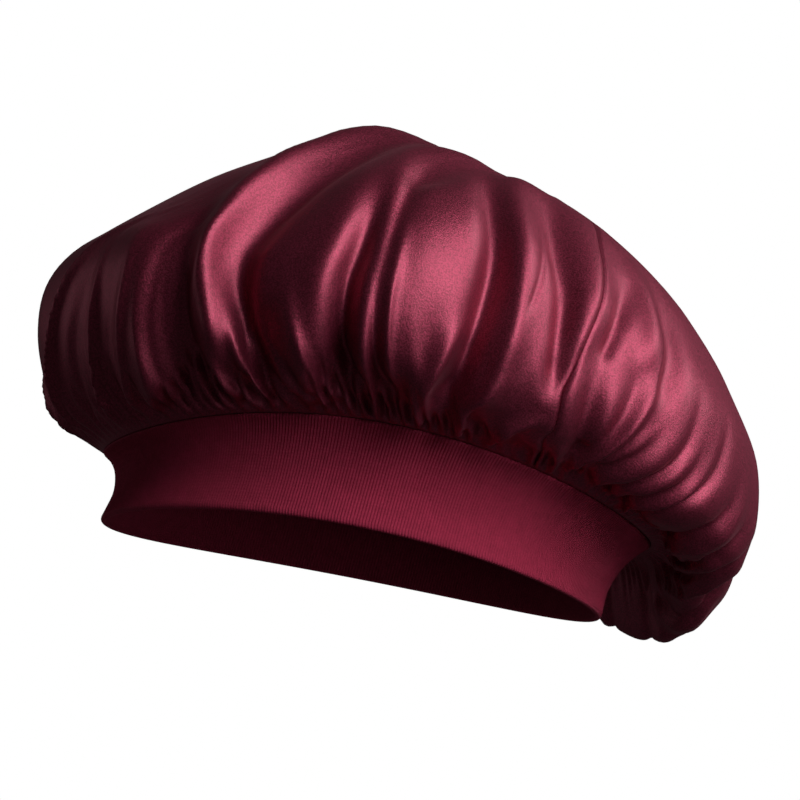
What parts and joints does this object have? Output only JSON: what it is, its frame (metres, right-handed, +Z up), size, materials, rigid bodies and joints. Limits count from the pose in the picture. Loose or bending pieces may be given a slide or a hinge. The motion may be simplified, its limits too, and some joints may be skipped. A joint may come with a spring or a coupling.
{
  "type": "sleep bonnet",
  "caption": "Puffed satin sleep bonnet, gathered into a wide folded stretch-knit headband, with its crown sagging at the back of the head.",
  "frame": {"origin": "middle of the head opening, at the headband's lower edge", "axes": "+X towards the back of the head, -X towards the forehead, -Y the side that shows, +Z up on an upright head"},
  "size_m": [0.2748, 0.2453, 0.1851],
  "materials": {
    "satin": "glossy satin weave, soft broad highlights",
    "knit": "matte fine rib knit"
  },
  "bodies": {
    "root": {"headband": "knit", "crown_front_panel": "satin", "crown_back_panel": "satin"}
  },
  "joints": []
}
